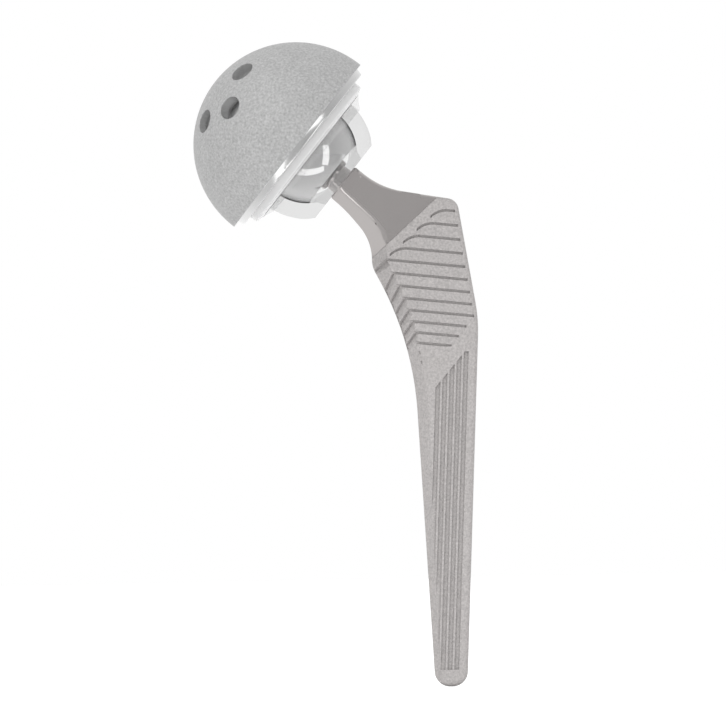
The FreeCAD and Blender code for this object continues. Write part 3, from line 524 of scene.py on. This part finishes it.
# Painted shade: the bearing turns near black at grazing angles, drawing the ball's outline.
painted_edge = tree.math("MULTIPLY", touching, tree.math("POWER", facing, PAINTED_EDGE_POWER))
painted_edge = tree.math("MULTIPLY", painted_edge, PAINTED_EDGE_GAIN, clamp=True)
veil = tree.mix(haze, *VEIL_TONES)
tree.link(tree.mix(painted_edge, veil, PAINTED_EDGE_COLOUR), shader, "Base Color")
clear = tree.math("MULTIPLY_ADD", tree.math("POWER", facing, VEIL_EDGE_POWER), VEIL_EDGE,
                  VEIL_ALPHA)
tree.link(tree.math("ADD", clear, tree.math("MULTIPLY", painted_edge, PAINTED_EDGE_ALPHA), clamp=True),
          shader, "Alpha")
behind = tree.add("ShaderNodeNewGeometry").outputs["Backfacing"]
tree.link(tree.math("MULTIPLY_ADD", behind, -FRONT_SPECULAR, FRONT_SPECULAR),
          shader, "Specular IOR Level")
tree.link(tree.math("MULTIPLY_ADD", haze, HAZE_ROUGHNESS, HAZE_ROUGHNESS), shader, "Roughness")
shader.inputs["IOR"].default_value = PLASTIC_IOR
insert_plastic.surface_render_method = "BLENDED"
print("insert material:", len(insert_plastic.node_tree.nodes), "nodes")

# %% [markdown]
# The liner is moulded polyethylene, white with a faint milkiness and a little subsurface light.
# Its conical lip is so thin that the ball shows through, so beyond the flange the alpha drops.

# %% Liner material
LIP_ROOT_AT, LIP_VEIL = 5.2 * MM, 0.14
MILK_SCALE, MILK_DETAIL, MILK_TONES = 60.0, 3.0, (grey(0.80), grey(0.86))
SATIN_LEAST, SATIN_SPAN = 0.22, 0.10
GLOW_WEIGHT, GLOW_REACH, GLOW_SCALE = 0.25, 4.0 * MM, 0.5

liner_plastic, tree, shader = new_material("white_polyethylene")
place = tree.object_place()
cloud = tree.noise(place, MILK_SCALE, MILK_DETAIL)
tree.link(tree.mix(cloud, *MILK_TONES), shader, "Base Color")
offset, along = cup_offset(tree, place)
thin = tree.math("GREATER_THAN", along, LIP_ROOT_AT)
tree.link(tree.math("MULTIPLY_ADD", thin, LIP_VEIL - 1, 1.0), shader, "Alpha")
tree.link(tree.math("MULTIPLY_ADD", cloud, SATIN_SPAN, SATIN_LEAST), shader, "Roughness")
shader.inputs["Subsurface Weight"].default_value = GLOW_WEIGHT
shader.inputs["Subsurface Radius"].default_value = (GLOW_REACH, GLOW_REACH, GLOW_REACH)
shader.inputs["Subsurface Scale"].default_value = GLOW_SCALE
print("liner material:", len(liner_plastic.node_tree.nodes), "nodes")

# %% [markdown]
# A node of the frame is loose triangles with flat shading. Each gets a skin: a copy whose
# doubled vertices are merged and whose hair-thin triangles are cleared, shaded smooth, and kept
# crisp where two faces meet at a real edge. The skin stands for its node and rides on the same
# body.

# %% Helpers for skins
MERGE = 0.004 * MM
FLAT = math.radians(0.2)
CRISP_EDGE = math.radians(24)
MOST_CORNERS = 4


def merged_copy(node):
    """The node's mesh in a work mesh, its doubled vertices merged and its flats whole."""
    work = bmesh.new()
    work.from_mesh(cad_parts[node].data)
    bmesh.ops.remove_doubles(work, verts=work.verts, dist=MERGE)
    bmesh.ops.dissolve_degenerate(work, dist=MERGE, edges=work.edges)
    bmesh.ops.dissolve_limit(work, angle_limit=FLAT, verts=work.verts, edges=work.edges)
    return work


def meets_at(edge):
    """The angle between an edge's two faces."""
    return edge.calc_face_angle(0) if edge.is_manifold else 0


def finish_skin(work, name, material):
    """Shade the work mesh smooth between its crisp edges and make it an object."""
    for face in work.faces:
        face.smooth = True
    for edge in work.edges:
        edge.smooth = meets_at(edge) < CRISP_EDGE
    loose = sum(1 for edge in work.edges if not edge.is_manifold)
    wide = [face for face in work.faces if len(face.verts) > MOST_CORNERS]
    bmesh.ops.triangulate(work, faces=wide)
    mesh = bpy.data.meshes.new(name)
    work.to_mesh(mesh)
    work.free()
    mesh.materials.append(material)
    piece = bpy.data.objects.new(name, mesh)
    bpy.context.collection.objects.link(piece)
    print(name, len(mesh.polygons), "faces,", loose, "open edges")
    return piece


def hand_in(piece, node, body):
    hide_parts(node)
    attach(piece, body)


print("skin helpers ready")

# %% [markdown]
# The balls and the liner need nothing more than that. The shell's rim also gets the slight
# cone that polishing leaves, which is what catches the window and the strip.

# %% Head, insert, liner and shell
PLAIN_SKINS = [
    ("femoral_head", "head_ball", head_metal, "stem", "polished_head_metal"),
    ("insert_cup", "insert_rear", insert_plastic, "insert", "clear_insert"),
    ("insert_cap", "insert_front", insert_plastic, "insert", "clear_insert"),
    ("acetabular_liner", "liner_body", liner_plastic, "cup", "liner_plastic"),
    ("acetabular_shell", "shell_body", shell_metal, "cup", "coated_shell_metal"),
]
RIM_FOOT, RIM_AT, RIM_LEAN = 26.7 * MM, 0.5 * MM, math.tan(math.radians(19))
RIM_CORNER_AT, RIM_CORNER = 1.6 * MM, 0.8 * MM


def lean_rim(work):
    """Turn the shell's rim to the slight cone that polishing leaves."""
    drop = (RIM_CORNER_AT - RIM_AT) * RIM_LEAN
    for vertex in work.verts:
        along = (vertex.co - SHELL_CENTRE).dot(CUP_MOUTH)
        spoke = vertex.co - SHELL_CENTRE - CUP_MOUTH * along
        radius = spoke.length
        if along < RIM_AT + MERGE or radius < RIM_FOOT + MERGE:
            continue
        if along <= RIM_CORNER_AT + MERGE:
            leaned = radius - (along - RIM_AT) * RIM_LEAN
        else:
            leaned = RIM_FOOT + (radius - RIM_FOOT) * (1 - drop / RIM_CORNER)
        vertex.co += spoke * (leaned / radius - 1)


for node, name, material, body, slot in PLAIN_SKINS:
    work = merged_copy(node)
    if node == "acetabular_shell":
        lean_rim(work)
    hand_in(finish_skin(work, name, material), node, body)

# %% [markdown]
# The neck is polished by hand after milling, so its long edges are softly rounded. They are
# found by place, above the edge of the coat and beyond the neck's end face, and bevelled in
# the work mesh. The upper rounds fade out towards the body, where the neck widens. The light
# sliding over those rounds is what makes the neck look polished. A weighted normal modifier
# lets the wide flats decide the shading where a round meets them.

# %% Stem with eased neck edges
NECK_FROM, NECK_TO = 13.8 * MM, 31.0 * MM
NOSE_HALF = 1.8 * MM
EASE_FLAT, EASE_TOP = 0.8 * MM, 1.7 * MM
FADE_FROM = 22.0 * MM
SHORT_STEP = 0.25 * MM
EASE_STEPS = 5
NECK_UP = Vector((math.sin(NECK_SLOPE), 0, math.cos(NECK_SLOPE)))


def on_stem(point):
    """A point seen from the neck: how far along it, how far above its middle, how far aside."""
    from_head = point - HEAD_CENTRE
    return Vector((from_head.dot(NECK_WAY), from_head.dot(NECK_UP), from_head.y))


def neck_edges(work, above):
    """The long crisp edges of the neck, above or below its middle line."""
    found = []
    for edge in work.edges:
        ends = [on_stem(vertex.co) for vertex in edge.verts]
        past_coat = min((vertex.co - COAT_EDGE_TOP).dot(COAT_EDGE_OUT) for vertex in edge.verts)
        inside = min(end.x for end in ends) > NECK_FROM and past_coat > 0
        if above:
            inside = inside and max(end.x for end in ends) < NECK_TO
        outer = min(abs(end.z) for end in ends) > NOSE_HALF
        if inside and outer and (ends[0].y > 0) == above and meets_at(edge) > CRISP_EDGE:
            found.append(edge)
    return found


def ease(work, picked, width):
    """Round the picked edges and give back the vertices of the rounds."""
    made = bmesh.ops.bevel(work, geom=picked, offset=width, segments=EASE_STEPS, profile=0.5,
                           affect="EDGES", clamp_overlap=False)
    print("edges eased:", len(picked))
    return made["verts"]


def join_short(work, above):
    """Merge the very short steps along a chain of neck edges, which a round can't follow.

    The chain is sorted, so that every run merges it the same way.
    """
    work.verts.index_update()
    chain = {vertex for edge in neck_edges(work, above) for vertex in edge.verts}
    chain = sorted(chain, key=lambda vertex: vertex.index)
    bmesh.ops.remove_doubles(work, verts=chain, dist=SHORT_STEP)


def sharp_edge_at(ridge, along):
    """How far above the neck's middle and how far aside the sharp edge ran at a distance."""
    after = next((number for number, spot in enumerate(ridge) if spot.x >= along),
                 len(ridge) - 1)
    first, second = ridge[max(after - 1, 0)], ridge[after]
    span = second.x - first.x
    share = (along - first.x) / span if span > MERGE else 0
    return first.y + (second.y - first.y) * share, first.z + (second.z - first.z) * share


def fade_out(rounded, ridge):
    """Draw the round back to the sharp edge that it replaced, bit by bit towards the body."""
    for vertex in rounded:
        along, _, aside = on_stem(vertex.co)
        fade = min(max((along - FADE_FROM) / (NECK_TO - FADE_FROM), 0), 1)
        height, width = sharp_edge_at(ridge, along)
        sharp = HEAD_CENTRE + NECK_WAY * along + NECK_UP * height
        sharp.y = math.copysign(width, aside)
        vertex.co = vertex.co.lerp(sharp, fade)


stem_work = merged_copy("femoral_stem")
join_short(stem_work, False)
join_short(stem_work, True)
ease(stem_work, neck_edges(stem_work, False), EASE_FLAT)
upper = neck_edges(stem_work, True)
spots = {tuple(on_stem(vertex.co)) for edge in upper for vertex in edge.verts if vertex.co.y > 0}
ridge = [Vector(spot) for spot in sorted(spots)]
fade_out(ease(stem_work, upper, EASE_TOP), ridge)
stem = finish_skin(stem_work, "stem_forging", stem_metal)
weighted = stem.modifiers.new("even_flats", "WEIGHTED_NORMAL")
weighted.keep_sharp = True
hand_in(stem, "femoral_stem", "stem")

# %% [markdown]
# The socket in the shoulder is threaded for the tool that drives the stem in. A thread is a
# ridge that follows a helix, so Geometry Nodes build it: a spiral curve swept with a
# three-cornered profile, then made a plain mesh.

# %% Socket thread
THREAD_RADIUS, THREAD_PITCH, THREAD_DEPTH = 2.5 * MM, 0.8 * MM, 0.34 * MM
THREAD_FOOT, THREAD_TOP = 5.6 * MM, 15.4 * MM
TURN_STEPS, RIDGE_CORNERS = 36, 3


def thread_tree():
    """Geometry Nodes for a helical ridge, with inputs for its sizes and its material."""
    group = bpy.data.node_groups.new("socket_thread", "GeometryNodeTree")
    face = group.interface
    for label, kind in (("Radius", FLOAT), ("Height", FLOAT), ("Turns", FLOAT),
                        ("Depth", FLOAT), ("Material", "NodeSocketMaterial")):
        face.new_socket(label, in_out="INPUT", socket_type=kind)
    face.new_socket("Geometry", in_out="OUTPUT", socket_type="NodeSocketGeometry")
    tree = Tree(group)
    given, result = tree.add("NodeGroupInput"), tree.add("NodeGroupOutput")
    helix = tree.add("GeometryNodeCurveSpiral", {
        "Resolution": TURN_STEPS, "Rotations": given.outputs["Turns"],
        "Start Radius": given.outputs["Radius"], "End Radius": given.outputs["Radius"],
        "Height": given.outputs["Height"]})
    ridge = tree.add("GeometryNodeCurvePrimitiveCircle",
                     {"Resolution": RIDGE_CORNERS, "Radius": given.outputs["Depth"]})
    sweep = tree.add("GeometryNodeCurveToMesh", {
        "Curve": helix.outputs[0], "Profile Curve": ridge.outputs[0], "Fill Caps": True})
    real = tree.add("GeometryNodeRealizeInstances", {"Geometry": sweep.outputs[0]})
    coloured = tree.add("GeometryNodeSetMaterial", {
        "Geometry": real.outputs[0], "Material": given.outputs["Material"]})
    tree.link(coloured.outputs[0], result, "Geometry")
    return group


def grown(name, group, values):
    """The plain mesh that a Geometry Nodes tree grows from the given inputs."""
    seed = bpy.data.objects.new(name + "_seed", bpy.data.meshes.new(name + "_seed"))
    bpy.context.collection.objects.link(seed)
    modifier = seed.modifiers.new("nodes", "NODES")
    modifier.node_group = group
    for item in group.interface.items_tree:
        if item.in_out == "INPUT" and item.name in values:
            modifier[item.identifier] = values[item.name]
    bpy.context.view_layer.update()
    evaluated = seed.evaluated_get(bpy.context.evaluated_depsgraph_get())
    mesh = bpy.data.meshes.new_from_object(evaluated)
    bpy.data.objects.remove(seed)
    return mesh


thread_height = THREAD_TOP - THREAD_FOOT
thread_mesh = grown("thread", thread_tree(), {
    "Radius": THREAD_RADIUS, "Height": thread_height,
    "Turns": thread_height / THREAD_PITCH, "Depth": THREAD_DEPTH, "Material": stem_metal})
thread_mesh.transform(Matrix.Translation((0, 0, THREAD_FOOT)))
thread = bpy.data.objects.new("socket_thread", thread_mesh)
bpy.context.collection.objects.link(thread)
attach(thread, "stem")
print("thread:", len(thread_mesh.polygons), "faces")
